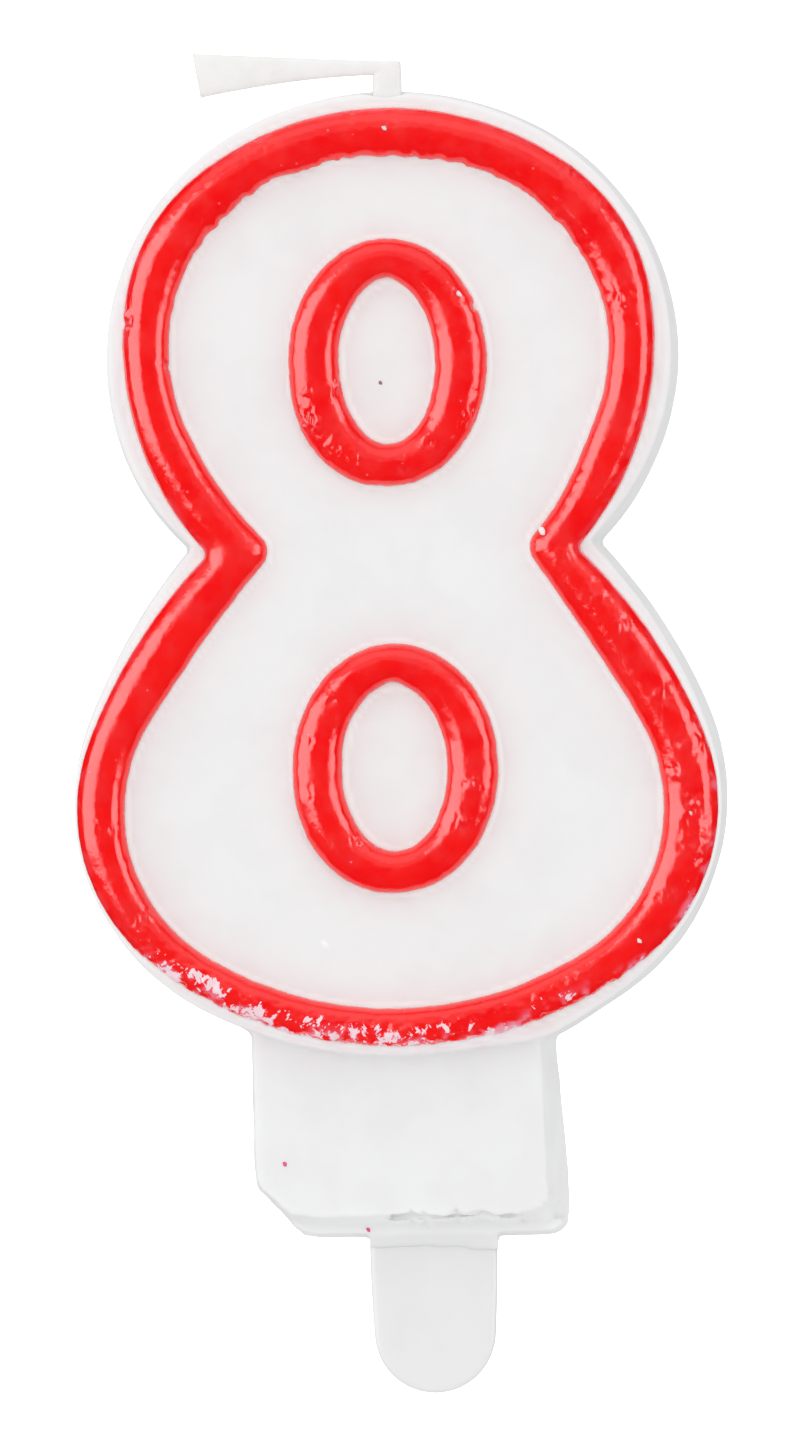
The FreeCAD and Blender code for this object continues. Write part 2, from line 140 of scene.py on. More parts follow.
# How far the numeral's side slopes outwards from its face to its back.
DRAFT = wax_high[0] - numeral_loop[:, 0].max()
bead_loops = {
    node: [smooth_loop(loop) for loop in flat_loops(node, FACE_Y)]
    for node in ("outline_bead", "upper_ring_bead", "lower_ring_bead")
}
axis_x = (numeral_loop[:, 0].max() + numeral_loop[:, 0].min()) / 2
fold = np.array(frame["joints"][0]["pos_m"]) / MM


# ---------------------------------------------------------------- fields and their surfaces


def even_steps(low, high, step):
    """Evenly spaced places from low to just past high."""
    return low + step * np.arange(math.ceil((high - low) / step) + 1)


def lattice(low, high, step):
    """Three axes of a grid of points that covers a box."""
    return [even_steps(low[i], high[i], step) for i in range(3)]


def signed_distance(loop, x, z):
    """Distance from each (x, z) to a closed loop, negative inside it."""
    shape = np.broadcast(x, z).shape
    nearest = np.full(shape, np.inf)
    inside = np.zeros(shape, bool)
    for (ax, az), (bx, bz) in zip(loop, np.roll(loop, -1, 0)):
        dx, dz = bx - ax, bz - az
        share = np.clip(((x - ax) * dx + (z - az) * dz) / (dx * dx + dz * dz), 0, 1)
        nearest = np.minimum(nearest, (x - ax - share * dx) ** 2 + (z - az - share * dz) ** 2)
        if dz:
            inside ^= ((az > z) != (bz > z)) & (x < ax + (z - az) * dx / dz)
    return np.where(inside, -1.0, 1.0) * np.sqrt(nearest)


def round_max(a, b, radius):
    """The overlap of both fields, with the edge between them rounded."""
    return np.minimum(np.maximum(a, b), -radius) + np.hypot(
        np.maximum(a + radius, 0), np.maximum(b + radius, 0)
    )


def round_min(a, b, radius):
    """Both fields joined, with a fillet where they meet."""
    return -round_max(-a, -b, radius)


def box_field(x, y, z, centre, half, radius):
    """A box with rounded edges."""
    sides = [np.abs(p - c) - (h - radius) for p, c, h in zip((x, y, z), centre, half)]
    outside = np.sqrt(sum(np.maximum(side, 0) ** 2 for side in sides))
    deepest = np.maximum(np.maximum(sides[0], sides[1]), sides[2])
    return outside + np.minimum(deepest, 0) - radius


def bell(middle, width, value):
    """1 at the middle, falling smoothly to both sides."""
    return np.exp(-(((value - middle) / width) ** 2))


def smooth_step(low, high, value):
    """0 at low, 1 at high, with a smooth ramp between; low may be the larger."""
    t = np.clip((value - low) / (high - low), 0, 1)
    return t * t * (3 - 2 * t)


# Turns the noise's cells off the axes, so that no feature lines up with them.
TURNED = np.array(
    Matrix.Rotation(0.7, 3, "X") @ Matrix.Rotation(0.55, 3, "Y") @ Matrix.Rotation(0.4, 3, "Z")
)
HASH_DIRECTION = np.array((127.1, 311.7, 74.7))
HASH_SEED_STEP = 17.3
HASH_SPREAD = 43758.5453


def noise(x, y, z, cell, seed):
    """Smooth noise from -1 to 1 with features about one cell wide."""
    points = np.stack(np.broadcast_arrays(x, y, z), -1) @ TURNED / cell
    base = np.floor(points)
    part = points - base
    part = part * part * (3 - 2 * part)
    total = np.zeros(points.shape[:-1])
    for corner in itertools.product((0, 1), repeat=3):
        phase = (base + corner) @ HASH_DIRECTION + HASH_SEED_STEP * seed
        value = np.sin(phase) * HASH_SPREAD
        weight = np.prod(np.where(corner, part, 1 - part), axis=-1)
        total += weight * (2 * (value - np.floor(value)) - 1)
    return total


def surface_nets(field, axes):
    """Points and outward quads of the surface where a field on a grid is zero."""
    shape = tuple(n - 1 for n in field.shape)
    total = np.zeros(shape + (3,))
    count = np.zeros(shape)
    crossings = []
    for axis in range(3):
        first = np.take(field, range(shape[axis]), axis)
        second = np.take(field, range(1, shape[axis] + 1), axis)
        crosses = (first < 0) != (second < 0)
        share = np.where(crosses, first / np.where(crosses, first - second, 1), 0)
        crossings.append((crosses, first < 0))
        others = [(axis + 1) % 3, (axis + 2) % 3]
        for offsets in itertools.product((0, 1), repeat=2):
            cut = [slice(None)] * 3
            for other, offset in zip(others, offsets):
                cut[other] = slice(offset, offset + shape[other])
            here = crosses[tuple(cut)]
            count += here
            total[..., axis] += share[tuple(cut)]
            for other, offset in zip(others, offsets):
                total[..., other] += here * offset
    active = count > 0
    number = np.full(shape, -1)
    number[active] = np.arange(active.sum())
    points = np.argwhere(active) + total[active] / count[active][:, None]
    quads = []
    for axis, (crosses, starts_inside) in enumerate(crossings):
        u, v = (axis + 1) % 3, (axis + 2) % 3
        at = np.argwhere(crosses)
        at = at[(at[:, u] > 0) & (at[:, u] < shape[u]) & (at[:, v] > 0) & (at[:, v] < shape[v])]
        corners = []
        for du, dv in ((1, 1), (0, 1), (0, 0), (1, 0)):
            cell = at.copy()
            cell[:, u] -= du
            cell[:, v] -= dv
            corners.append(number[tuple(cell.T)])
        ring = np.stack(corners, -1)
        outward = starts_inside[tuple(at.T)]
        quads.append(np.where(outward[:, None], ring, ring[:, ::-1]))
    places = [np.interp(points[:, i], np.arange(len(axes[i])), axes[i]) for i in range(3)]
    return np.stack(places, -1), np.concatenate(quads)


def relax(points, quads, times):
    """Evens out the surface without shrinking it: each smoothing is followed by a swelling."""
    a, b = quads.ravel(), np.roll(quads, -1, 1).ravel()
    degree = np.bincount(a, minlength=len(points))[:, None]
    for share in (0.5, -0.52) * times:
        mean = np.stack([np.bincount(a, points[b, i], len(points)) for i in range(3)], -1) / degree
        points = points + share * (mean - points)
    return points


def normals(points, quads):
    """The unit normal at each point."""
    p = points[quads]
    face = np.cross(p[:, 2] - p[:, 0], p[:, 3] - p[:, 1])
    total = np.zeros_like(points)
    for corner in range(4):
        for i in range(3):
            total[:, i] += np.bincount(quads[:, corner], face[:, i], len(points))
    return total / np.maximum(np.linalg.norm(total, axis=1, keepdims=True), 1e-12)


def add_object(name, data):
    """An object in the scene that holds a mesh, a lamp or a camera."""
    thing = bpy.data.objects.new(name, data)
    bpy.context.scene.collection.objects.link(thing)
    return thing


def make_piece(name, points, faces, material, body, replaced):
    """A smooth-shaded mesh piece that stands for CAD nodes and may ride on a body."""
    mesh = bpy.data.meshes.new(name)
    mesh.from_pydata((points * MM).tolist(), [], [list(face) for face in faces])
    mesh.polygons.foreach_set("use_smooth", [True] * len(mesh.polygons))
    mesh.materials.append(material)
    mesh.update()
    piece = add_object(name, mesh)
    if body:
        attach(piece, body)
    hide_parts(*replaced)
    return piece


def paint(piece, name, values):
    """Stores one number per vertex for the piece's material."""
    layer = piece.data.attributes.new(name, "FLOAT", "POINT")
    layer.data.foreach_set("value", np.asarray(values, np.float32))


# ---------------------------------------------------------------- materials


class Nodes:
    """A short way to lay out a material's nodes."""

    def __init__(self, name):
        self.material = bpy.data.materials.new(name)
        self.material.use_nodes = True
        self.tree = self.material.node_tree
        self.shader = self.tree.nodes["Principled BSDF"]
        self.place = self.tree.nodes.new("ShaderNodeTexCoord").outputs["Object"]

    def add(self, kind, inputs=None, **settings):
        """A new node; an input is a number, a colour or another node's output."""
        node = self.tree.nodes.new(f"ShaderNode{kind}")
        for key, value in settings.items():
            setattr(node, key, value)
        for key, value in (inputs or {}).items():
            if isinstance(value, bpy.types.NodeSocket):
                self.tree.links.new(value, node.inputs[key])
            else:
                node.inputs[key].default_value = value
        return node

    def set(self, **values):
        """Sets or links the shader's inputs, named with _ for each space."""
        for key, value in values.items():
            socket = self.shader.inputs[key.replace("_", " ")]
            if isinstance(value, bpy.types.NodeSocket):
                self.tree.links.new(value, socket)
            else:
                socket.default_value = value

    def texture(self, scale, detail=3.0, roughness=0.5, stretch=(1, 1, 1), turn_degrees=0.0):
        """Noise from 0 to 1, scale features per metre, turned about Y and then stretched."""
        turn = (0.0, math.radians(turn_degrees), 0.0)
        turned = self.add("Mapping", {"Vector": self.place, "Rotation": turn}).outputs[0]
        mapped = self.add("Mapping", {"Vector": turned, "Scale": stretch}).outputs[0]
        inputs = {"Vector": mapped, "Scale": scale, "Detail": detail, "Roughness": roughness}
        return self.add("TexNoise", inputs).outputs["Fac"]

    def spread(self, value, low, high, to_low=0.0, to_high=1.0):
        """The value's range low to high, stretched to another range."""
        inputs = {
            "Value": value, "From Min": low, "From Max": high, "To Min": to_low, "To Max": to_high
        }
        return self.add("MapRange", inputs, interpolation_type="SMOOTHSTEP").outputs["Result"]

    def attribute(self, name):
        """A number painted on the mesh."""
        return self.add("Attribute", attribute_name=name).outputs["Fac"]

    def math(self, operation, a, b):
        """Two numbers or outputs put through a sum, a product or the like."""
        return self.add("Math", {0: a, 1: b}, operation=operation).outputs[0]

    def mix(self, share, a, b):
        """Colour a, or b where share is 1."""
        node = self.add("Mix", data_type="RGBA")
        for socket, value in ((node.inputs[0], share), (node.inputs[6], a), (node.inputs[7], b)):
            if isinstance(value, bpy.types.NodeSocket):
                self.tree.links.new(value, socket)
            else:
                socket.default_value = value
        return node.outputs[2]

    def bump(self, layers):
        """A normal from several heights, each (height from 0 to 1, depth in millimetres)."""
        normal = None
        for height, depth in layers:
            inputs = {"Height": height, "Distance": depth * MM, "Strength": 1.0}
            if normal is not None:
                inputs["Normal"] = normal
            normal = self.add("Bump", inputs).outputs["Normal"]
        self.tree.links.new(normal, self.shader.inputs["Normal"])


WHITE_WAX = (0.868, 0.876, 0.876, 1)
CLOUDY_WAX = (0.85, 0.852, 0.855, 1)
# Painted pink bounce light and shade, mixed into the white wax near the red bands.
PAINTED_PINK_BOUNCE = (0.9, 0.4, 0.5, 1)
RED_WAX = (1.0, 0.009, 0.009, 1)
DEEP_RED = (0.97, 0.005, 0.007, 1)
PINK_CHALK = (0.95, 0.22, 0.33, 1)
CHALK = (0.93, 0.68, 0.74, 1)
# Painted highlight: pure white along the edges of the red bands and at the bright specks.
PAINTED_LIP_HIGHLIGHT = (1.0, 1.0, 1.0, 1)
PICK_WHITE = (0.835, 0.835, 0.835, 1)
PICK_SHADE = (0.82, 0.82, 0.822, 1)
WICK_WHITE = (0.87, 0.868, 0.86, 1)
WICK_SHADE = (0.84, 0.838, 0.83, 1)
CRUMB_RED = (0.82, 0.09, 0.24, 1)
CRUMB_BROWN = (0.3, 0.16, 0.16, 1)
PAPER = (0.95, 0.95, 0.95, 1)


def white_wax():
    """Cloudy white paraffin, with painted pink bounce light and shade near the red bands and a
    painted white highlight along their edges.
    """
    n = Nodes("white_wax")
    cloud = n.mix(n.spread(n.texture(260, 4), 0.4, 0.65), WHITE_WAX, CLOUDY_WAX)
    bounce_tinted = n.mix(n.attribute("painted_red_bounce"), cloud, PAINTED_PINK_BOUNCE)
    thinned = n.mix(n.attribute("film"), bounce_tinted, PICK_WHITE)
    n.set(
        Base_Color=n.mix(n.attribute("lip_and_painted_highlight"), thinned, PAINTED_LIP_HIGHLIGHT),
        Roughness=n.spread(n.texture(900, 3), 0.3, 0.7, 0.5, 0.62),
        IOR=1.44,
        Specular_IOR_Level=0.12,
        Subsurface_Weight=0.6,
        Subsurface_Radius=(1.0, 0.95, 0.92),
        Subsurface_Scale=0.5 * MM,
    )
    n.bump([(n.texture(450, 3), 0.05), (n.texture(3200, 2), 0.006)])
    return n.material


def red_wax():
    """Glossy dyed paraffin, deeper in patches, with painted glints at pinholes, pale scuffs and
    chalky flakes.
    """
    n = Nodes("red_wax")
    depth = n.mix(n.spread(n.texture(420, 4), 0.42, 0.6), RED_WAX, DEEP_RED)
    bubbles = n.add("TexVoronoi", {"Vector": n.place, "Scale": 700.0}).outputs["Distance"]
    # Painted glints: pale dots at the pinholes, in the colour only, with no pit in the bump.
    pinhole_glint = n.spread(bubbles, 0.0, 0.09, 1.0, 0.0)
    flakes = n.math("MAXIMUM", n.texture(2000, 3, 0.65, (1, 1, 0.4), 35.0),
                    n.texture(2000, 3, 0.65, (1, 1, 0.4), -40.0))
    crowded = n.math("ADD", flakes, n.math("MULTIPLY", n.attribute("flaked"), 0.37))
    worn = n.math("ADD", n.attribute("chalk"), n.math("MULTIPLY", pinhole_glint, 0.35))
    chalk = n.math("ADD", worn, n.spread(crowded, 0.87, 0.92))
    pink = n.mix(n.spread(chalk, 0.0, 0.5), depth, PINK_CHALK)
    n.set(
        Base_Color=n.mix(n.spread(chalk, 0.35, 1.0), pink, CHALK),
        Roughness=n.math("ADD", n.spread(n.texture(700, 4), 0.35, 0.7, 0.09, 0.2),
                         n.math("MULTIPLY", chalk, 0.4)),
        IOR=1.5,
        Specular_IOR_Level=0.8,
        Subsurface_Weight=0.08,
        Subsurface_Radius=(1.0, 0.15, 0.1),
        Subsurface_Scale=0.5 * MM,
    )
    n.bump([(n.texture(600, 3), 0.02), (n.texture(2600, 4, 0.6), 0.022)])
    return n.material


def waxed_wick():
    """Cotton braid soaked in wax: fine slanting strands just showing."""
    n = Nodes("waxed_wick")
    strands = n.texture(2600, 3, 0.6, stretch=(0.35, 1.0, 1.0))
    n.set(
        Base_Color=n.mix(n.spread(n.texture(900, 4), 0.35, 0.7), WICK_WHITE, WICK_SHADE),
        Roughness=n.spread(strands, 0.3, 0.7, 0.45, 0.65),
        IOR=1.44,
        Subsurface_Weight=0.2,
        Subsurface_Radius=(1.0, 0.9, 0.8),
        Subsurface_Scale=0.5 * MM,
    )
    n.bump([(strands, 0.02)])
    return n.material


def pick_plastic():
    """Moulded white plastic with faint flow lines along its length."""
    n = Nodes("pick_plastic")
    flow = n.texture(700, 3, 0.5, stretch=(1.0, 1.0, 0.12))
    n.set(
        Base_Color=n.mix(n.spread(n.texture(300, 3), 0.4, 0.7), PICK_WHITE, PICK_SHADE),
        Roughness=n.spread(flow, 0.3, 0.7, 0.34, 0.46),
        IOR=1.49,
        Subsurface_Weight=0.15,
        Subsurface_Radius=(1.0, 1.0, 1.0),
        Subsurface_Scale=0.8 * MM,
    )
    n.bump([(flow, 0.012), (n.texture(4000, 2), 0.003)])
    return n.material


def plain(name, colour, light=0.0):
    """A dull, faintly uneven colour that may glow."""
    n = Nodes(name)
    tone = n.mix(n.texture(4.0, 2), colour, tuple(c * 0.99 for c in colour[:3]) + (1,))
    n.set(Base_Color=tone, Roughness=0.9, Emission_Color=(1, 1, 1, 1), Emission_Strength=light)
    return n.material


# ---------------------------------------------------------------- the white wax

FACE_ROUND = 0.42
BACK_ROUND = 0.25
WAIST_Z = 46.0
# Tears in the block's lower lip: (x, half width, depth)
LIP_TEARS = [(-1.25, 0.35, 0.5), (-0.45, 0.3, 0.25), (1.6, 0.4, 0.5), (2.9, 0.9, 0.25),
             (5.6, 0.5, 0.15)]
# Bright specks painted white on the face: (x, z)
BRIGHT_SPOTS = [(-6.16, 18.46), (7.1, 51.4)]


def inner_lean(x, z):
    """How far right the outline's inner edge is shifted: most at the waist's right corner."""
    corner_z = 43.5
    right = smooth_step(-3.0, 3.0, x)
    return bell(corner_z, 4.0, z) * (0.12 + 0.55 * right) - 0.2 * smooth_step(38.0, 30.0, z)


def band_distance(x, z):
    """Distance outside the nearest red band, negative under it."""
    nearest = None
    for node, (outer, inner) in bead_loops.items():
        lean = inner_lean(x, z) if node == "outline_bead" else 0.0
        band = np.maximum(signed_distance(outer, x, z), -signed_distance(inner, x - lean, z))
        nearest = band if nearest is None else np.minimum(nearest, band)
    return nearest


def numeral_field(x, y, z):
    """The eight: drafted sides, a waist a little to the left and a web at its lower right."""
    depth = (y - FACE_Y) / (BACK_Y - FACE_Y)
    waist_shift = 0.17 * bell(WAIST_Z, 5.0, z)
    web_x = 7.5
    web = 0.5 * bell(web_x, 2.5, x) * smooth_step(20.0, 15.0, z)
    side = signed_distance(numeral_loop, x + waist_shift, z + web) - DRAFT * depth
    return round_max(round_max(side, FACE_Y - y, FACE_ROUND), y - BACK_Y, BACK_ROUND)


def block_field(x, y, z):
    """The foot block: a front skin with a torn lower lip, over a thin rim round its foot."""
    rim_y, rim_top = -1.15, 0.95
    lip_z, lip_y, lip_left, lip_right = 1.4, -3.0, -2.6, 5.8
    block_top = 13.0
    edge = 0.2
    right_part = smooth_step(-4.0, -1.0, x)
    torn = (0.05 + 0.16 * right_part) * noise(x, 0, z, 0.9, 3)
    torn = torn + (0.05 + 0.11 * right_part) * noise(x, 0, z, 0.4, 4)
    for tear_x, half_width, tear_depth in LIP_TEARS:
        torn = torn + tear_depth * np.maximum(1 - np.abs(x - tear_x) / half_width, 0)
    low_edge = smooth_step(4.0, 2.2, z)
    chip = smooth_step(-7.0, -8.5, x) * smooth_step(5.0, 3.0, z)
    chipped = 0.12 * chip * (1 + noise(x, 0, z, 1.0, 5))
    face = signed_distance(block_face_loop, x, z + 0.3 * low_edge) + torn * low_edge
    back = signed_distance(back_loop, x, z)
    depth = np.clip((y - BLOCK_FACE_Y) / (BACK_Y - BLOCK_FACE_Y), 0, 1)
    side = (1 - depth) * face + depth * back + chipped
    skin = round_max(side, BLOCK_FACE_Y - y, edge - 0.13 * low_edge * right_part)
    rim_draft = 0.35 * smooth_step(0.9, rim_y, y) * smooth_step(1.4, 0.5, z)
    rim = round_max(round_max(back + chipped + rim_draft, rim_y - y, edge), z - rim_top, edge)
    gaps = smooth_step(0.05, 0.45, noise(x, 0, 0, 1.3, 6)) * right_part * smooth_step(4.6, 3.8, x)
    height = 0.1 + 0.08 * noise(x, 0, 0, 0.8, 7) + 0.34 * gaps
    wavy_z = z - 0.1 * noise(x, 0, 0, 0.9, 9)
    middle = ((lip_left + lip_right) / 2, lip_y, lip_z)
    half = ((lip_right - lip_left) / 2, 0.9, height)
    crevice = box_field(x, y, wavy_z, middle, half, 0.1)
    block = round_min(skin, rim, 0.3 * smooth_step(0.2, -0.8, y) + 0.001)
    block = np.maximum(block, -crevice)
    block = round_max(block, y - BACK_Y, BACK_ROUND)
    return np.maximum(block, z - block_top)


def pick_collar(x, y, z):
    """Wax that crept down the pick as it set, thinning to nothing."""
    pick_low, pick_high = node_box("pick")
    half_width = (pick_high[0] - pick_low[0]) / 2
    middle_x, overlap = 0.05, 0.1
    middle_z, half_height = -0.1, 1.3
    flare = 0.55 * smooth_step(-1.4, 0.6, z) ** 2
    half_depth = pick_high[1] - 0.06 + flare
    thinning = np.maximum(np.abs(y) - half_depth, np.abs(z - middle_z) - half_height)
    drip = 0.05 * noise(x, y, z, 1.1, 8)
    return round_max(thinning, np.abs(x - middle_x) - half_width - overlap, 0.1) + drip


def body_axes():
    """A grid that is finer through the thickness and round the block's torn foot."""
    low, high = wax_low - 0.9, wax_high + 0.9
    coarse, fine, through = 0.3, 0.13, 0.2
    torn_left, torn_right, torn_top = -2.2, 5.6, 2.8
    return [
        np.concatenate((
            even_steps(low[0], torn_left, coarse),
            even_steps(torn_left + 2 * coarse, torn_right, fine),
            even_steps(torn_right + coarse, high[0], coarse),
        )),
        even_steps(low[1], high[1], through),
        np.concatenate((
            even_steps(low[2], torn_top, fine), even_steps(torn_top + coarse, high[2], coarse)
        )),
    ]


def wick_dimple(x, y, z):
    """The hollow where the wax shrank round the wick."""
    core_low, core_high = node_box("wick_core")
    core = (core_low + core_high) / 2
    half_x, half_y, depth = 1.6, 1.1, 0.65
    across = (x - core[0]) / half_x
    through = (y - core[1] + 0.6) / half_y
    down = (z - wax_high[2] + 0.1) / depth
    return (1 - np.sqrt(across**2 + through**2 + down**2)) * depth


def make_white_body():
    """The casting, with painted pink bounce light and shade near the red bands, and a raised lip
    along them that is also painted white as a highlight.
    """
    axes = body_axes()
    x, y, z = np.ix_(*axes)
    field = round_min(numeral_field(x, y, z), block_field(x, y, z), 0.25)
    field = round_min(field, pick_collar(x, y, z), 0.3)
    field = np.maximum(field, wick_dimple(x, y, z))
    points, quads = surface_nets(field, axes)
    points = relax(points, quads, 2)
    out = normals(points, quads)
    px, py, pz = points.T
    swell = 0.04 * noise(px, py, pz, 6.0, 11) + 0.02 * noise(px, py, pz, 1.8, 12)
    foot = smooth_step(13.0, 9.0, pz)
    swell += foot * 0.02 * noise(px, py, pz, 0.9, 13)
    away = np.maximum(band_distance(px, pz), 0)
    front = smooth_step(FACE_Y + 1.6, FACE_Y + 0.4, py)
    lip_width, lip_height = 0.4, 0.1
    # The lip is raised in the mesh, and the same mask paints a white highlight over the strip beside
    # the bands that they shade.
    lip_and_painted_highlight = front * smooth_step(lip_width, 0.1, away)
    points = points + out * (swell + lip_height * lip_and_painted_highlight)[:, None]
    piece = make_piece(
        "white_wax_body", points, quads, MATERIALS["white_wax"], "candle", ["wax_body"]
    )
    mottle = 0.6 + 0.4 * noise(px, py, pz, 0.7, 14)
    # Painted pink bounce light and shade: pinker and a little darker just out from the red bands,
    # and on the block's top under the numeral.
    painted_red_bounce = front * 0.13 * mottle * smooth_step(0.1, 0.35, away) * np.exp(-away / 1.6)
    under = smooth_step(14.5, 13.0, pz) * smooth_step(10.2, 11.4, pz)
    painted_red_bounce += 0.09 * mottle * under * smooth_step(-2.5, -4.0, py)
    paint(piece, "painted_red_bounce", painted_red_bounce)
    paint(piece, "film", smooth_step(0.4, -0.1, pz))
    # The bright specks are painted into the same white highlight mask.
    spot_radius = 0.22
    for spot_x, spot_z in BRIGHT_SPOTS:
        spot = np.hypot(px - spot_x, pz - spot_z)
        lip_and_painted_highlight = np.maximum(lip_and_painted_highlight, front * smooth_step(spot_radius, 0.1, spot))
    paint(piece, "lip_and_painted_highlight", lip_and_painted_highlight)


# ---------------------------------------------------------------- the red wax

# How deep the red sits in the white, the power of the superellipse across a band, and the spacing
# of the grids that the bands are made on.
EMBED = 0.7
DOME_POWER = 2.15
OUTLINE_STEP = 0.132
RING_STEP = 0.1
# Chalkiness for each millimetre of wrinkle.
SCUFF_CHALK = 0.8
# Rough places on the bands: (x, z, radius, height of the wrinkles)
OUTLINE_SCARS = [(-17.8, 57.3, 0.6, 0.2), (-15.3, 54.4, 0.4, 0.14), (12.8, 58.0, 0.8, 0.12),
                 (8.9, 42.2, 0.5, 0.12), (11.0, 39.6, 0.7, 0.12), (12.6, 38.0, 0.6, 0.12),
                 (14.9, 33.5, 0.7, 0.14), (15.9, 30.5, 0.5, 0.14), (17.3, 30.2, 0.6, 0.14),
                 (15.7, 28.7, 0.5, 0.2), (16.8, 27.1, 0.5, 0.14), (16.9, 24.2, 1.1, 0.1),
                 (16.6, 26.0, 0.9, 0.07), (15.3, 21.3, 1.0, 0.08), (17.0, 31.6, 0.8, 0.08),
                 (-17.2, 20.2, 0.7, 0.14), (-17.6, 24.0, 0.8, 0.07), (-19.6, 26.0, 0.7, 0.07),
                 (-9.4, 68.2, 0.6, 0.1), (-3.8, 69.8, 0.6, 0.1), (-1.0, 69.2, 0.5, 0.08),
                 (9.7, 65.9, 0.6, 0.12), (11.7, 64.1, 0.5, 0.12)]
UPPER_RING_SCARS = [(-6.3, 50.8, 0.6, 0.28), (-6.6, 52.6, 0.3, 0.16), (-4.6, 52.8, 0.5, 0.2),
                    (-5.2, 49.2, 0.6, 0.16), (2.9, 58.4, 0.3, 0.12), (0.9, 49.4, 0.4, 0.18),
                    (-3.6, 48.4, 0.5, 0.12), (3.4, 50.9, 0.6, 0.08), (-0.8, 47.8, 0.6, 0.12)]
LOWER_RING_SCARS = [(-6.7, 28.0, 0.7, 0.08), (-3.9, 24.8, 0.5, 0.14), (2.4, 25.8, 0.6, 0.16),
                    (-5.5, 33.6, 0.4, 0.12), (3.2, 28.4, 0.5, 0.18), (-6.8, 31.0, 0.4, 0.1)]
# Notches broken out of a band: (x, z, radius)
OUTLINE_NOTCHES = [(-18.1, 57.1, 0.42), (-15.1, 54.3, 0.22)]
UPPER_RING_NOTCHES = [(3.95, 57.7, 0.32), (-8.0, 51.5, 0.3), (-7.1, 49.0, 0.2)]
LOWER_RING_NOTCHES = [(-8.1, 30.4, 0.16), (-8.0, 32.4, 0.14)]


def scarred(x, y, z, scars):
    """Wrinkled height, in millimetres, at the rough places."""
    total = 0.0
    for cx, cz, radius, height in scars:
        near = np.exp(-(((x - cx) ** 2 + (z - cz) ** 2) / radius**2))
        total = total + near * height
    bend = 0.35 * noise(x, y, z, 0.6, 25)
    wrinkle = noise(x + bend, y, 0.5 * z, 0.3, 24) + 0.6 * noise(x, y, 0.6 * z + bend, 0.2, 27)
    return total * wrinkle


def bead_piece(name, node, step, scars, notches, edges):
    """A domed band between the node's outer and inner loops, set a little into the white wax."""
    node_low, node_high = node_box(node)
    low, high = node_low - 0.5, node_high + 0.5
    high[1] = FACE_Y + EMBED + 0.3
    axes = lattice(low, high, step)
    x, y, z = np.ix_(*axes)
    from_outer, from_inner = edges(*bead_loops[node], x, z)
    least_half = 0.3
    half = np.maximum((from_outer + from_inner) / 2, least_half)
    across = np.abs(from_inner - from_outer) / 2 / half
    crest = BEAD_HEIGHT * (0.97 + 0.03 * noise(x, 0, z, 3.5, 21))
    up = np.maximum(FACE_Y - y, 0) / crest
    dome = (across**DOME_POWER + up**DOME_POWER) ** (1 / DOME_POWER)
    field = (dome - 1) * np.minimum(half, BEAD_HEIGHT)
    field = np.maximum(field, y - FACE_Y - EMBED)
    for cx, cz, radius in notches:
        ball = radius - np.sqrt((x - cx) ** 2 + (y - FACE_Y + 0.5) ** 2 / 4 + (z - cz) ** 2)
        field = round_max(field, ball, 0.08)
    points, quads = surface_nets(field, axes)
    points = relax(points, quads, 2)
    out = normals(points, quads)
    px, py, pz = points.T
    raised = smooth_step(FACE_Y - 0.1, FACE_Y - 0.4, py)
    swell = 0.011 * noise(px, py, pz, 1.6, 22) + 0.008 * noise(px, py, pz, 0.5, 23)
    from_edge = -signed_distance(bead_loops[node][0], px, pz)
    ridge = noise(from_edge, 0.15 * px, 0.15 * pz, 0.42, 28)
    swell += 0.009 * (0.35 + 0.65 * smooth_step(5.0, 11.0, px)) * ridge
    swell += scarred(px, py, pz, scars)
    swell += foot_roughness(px, pz) * 0.1 * noise(px, py, pz, 0.36, 26)
    points = points + out * (swell * raised)[:, None]
    piece = make_piece(name, points, quads, MATERIALS["red_wax"], "candle", [node])
    return piece, (px, py, pz), from_edge


def foot_roughness(x, z):
    """How torn the outline's foot is where the mould was overfilled: most at the lower left."""
    left = smooth_step(21.0, 17.0, z) * smooth_step(6.0, -1.0, x)
    right = 0.75 * smooth_step(19.0, 15.0, z) * smooth_step(-1.0, 6.0, x)
    outer_half = smooth_step(1.9, 1.0, -signed_distance(bead_loops["outline_bead"][0], x, z))
    return (left + right) * outer_half


def outline_edges(outer, inner, x, z):
    """Distances in from both edges: the inner one leans at the waist and is ragged in the crown."""
    crown = smooth_step(57.0, 62.0, z)
    foot = smooth_step(20.0, 14.0, z)
    outer_wave = 0.05 + 0.02 * noise(x, 0, z, 0.9, 31)
    outer_wave = outer_wave + (0.012 + 0.1 * foot) * noise(x, 0, z, 0.3, 32)
    inner_wave = (0.03 + 0.07 * crown) * noise(x, 0, z, 1.3, 33)
    inner_wave += (0.02 + 0.11 * crown) * noise(x, 0, z, 0.4, 34) + 0.1 * crown
    return (
        outer_wave - signed_distance(outer, x, z),
        inner_wave + signed_distance(inner, x - inner_lean(x, z), z),
    )


def ring_edges(outer, inner, x, z):
    """Distances in from both edges; the hole sits a little left of the oval's middle."""
    lean = -0.12
    middle = outer.mean(0)
    low_left = smooth_step(0.0, -4.0, x - middle[0]) * smooth_step(0.0, -5.0, z - middle[1])
    outer_wave = 0.03 + 0.03 * noise(x, 0, z, 1.6, 41) + 0.035 * noise(x, 0, z, 0.4, 42)
    outer_wave = outer_wave + 0.2 * low_left
    peak = 0.2 * bell(middle[0] + lean, 0.7, x) * (z > middle[1])
    inner_wave = 0.035 * noise(x, 0, z, 1.4, 43) + 0.03 * noise(x, 0, z, 0.4, 44) - peak
    return (
        outer_wave - signed_distance(outer, x - lean / 2, z),
        inner_wave + signed_distance(inner, x - lean, z),
    )


